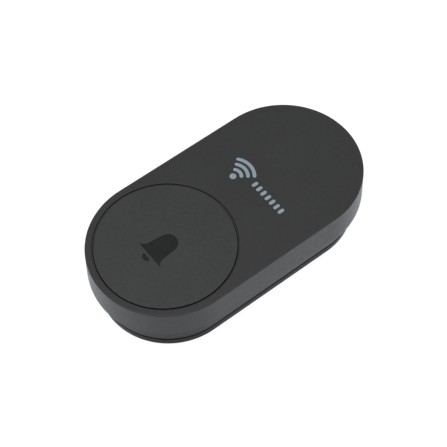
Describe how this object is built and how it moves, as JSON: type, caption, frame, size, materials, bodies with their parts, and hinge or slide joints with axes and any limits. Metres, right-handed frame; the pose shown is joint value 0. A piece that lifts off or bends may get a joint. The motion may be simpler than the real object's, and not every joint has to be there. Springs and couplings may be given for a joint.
{
  "type": "wireless doorbell push button",
  "caption": "Pill-shaped black doorbell transmitter with a large round push button and bell icon, on a slim wall plate.",
  "frame": {"origin": "centre of the wall plate's back face, on the wall, at the middle of the length and width", "axes": "+Z out of the front towards the visitor, +Y along the length away from the round button (up when it hangs on a wall), +X across the width"},
  "size_m": [0.044, 0.084, 0.0189],
  "materials": {
    "housing_plastic": "fine spark texture, matte black",
    "button_plastic": "fine spark texture, matte black, slightly lighter",
    "icon_plastic": "smooth smoked plastic, glossy",
    "plate_plastic": "moulded, satin black",
    "case_plastic": "moulded, satin black",
    "holder_plastic": "moulded, satin black",
    "foam_tape": "white closed-cell foam",
    "black_rubber": "soft black rubber",
    "red_rubber": "red silicone",
    "screw_steel": "zinc plated",
    "cell_steel": "nickel plated, satin",
    "cell_seal": "translucent grey polypropylene",
    "contact_bronze": "gold-plated phosphor bronze",
    "board_laminate": "green solder mask",
    "chip_resin": "moulded epoxy",
    "bright_steel": "bright stamped steel",
    "ceramic": "fired ceramic",
    "copper_wire": "bare copper wire",
    "led_resin": "clear moulded resin",
    "spring_steel": "drawn wire",
    "mark_ink": "pale blue-grey pad-printed ink on the front housing"
  },
  "bodies": {
    "wall_plate": {"wall_plate": "plate_plastic", "adhesive_pads": "foam_tape"},
    "unit": {"rear_case": "case_plastic", "case_gasket": "black_rubber", "case_screws": "screw_steel", "coin_cell_can": "cell_steel", "coin_cell_gasket": "cell_seal", "coin_cell_cap": "cell_steel", "cell_holder": "holder_plastic", "positive_contact": "contact_bronze", "negative_contact": "contact_bronze", "circuit_board": "board_laminate", "board_screws": "screw_steel", "transmitter_chip": "chip_resin", "encoder_chip": "chip_resin", "crystal": "bright_steel", "chip_passives": "ceramic", "antenna_coil": "copper_wire", "indicator_leds": "led_resin", "switch_base": "holder_plastic", "switch_terminals": "bright_steel", "switch_dome": "bright_steel", "switch_cover": "bright_steel", "front_housing": "housing_plastic", "button_gasket": "black_rubber", "return_springs": "spring_steel"},
    "battery_door": {"battery_door": "case_plastic", "battery_door_seal": "red_rubber"},
    "button": {"button_cap": "button_plastic", "icon_window": "icon_plastic"},
    "switch_plunger": {"switch_plunger": "holder_plastic"}
  },
  "joints": [
    {"name": "unit_slide", "type": "slide", "parent": "wall_plate", "child": "unit", "axis": [0, 1, 0], "range_m": [0, 0.004]},
    {"name": "button_press", "type": "slide", "parent": "unit", "child": "button", "axis": [0, 0, -1], "range_m": [0, 0.0006], "stiffness_N_per_m": 600, "springref_m": -0.0025, "deforming": ["return_springs", "button_gasket"]},
    {"name": "plunger_press", "type": "slide", "parent": "unit", "child": "switch_plunger", "axis": [0, 0, -1], "range_m": [0, 0.00025], "deforming": ["switch_dome"]},
    {"name": "door_twist", "type": "hinge", "parent": "unit", "child": "battery_door", "pos_m": [0, 0.008, 0.0033], "axis": [0, 0, 1], "range_deg": [0, 30]}
  ],
  "couplings": [
    {"joint": "plunger_press", "follows": "button_press", "ratio": 0.41667}
  ]
}
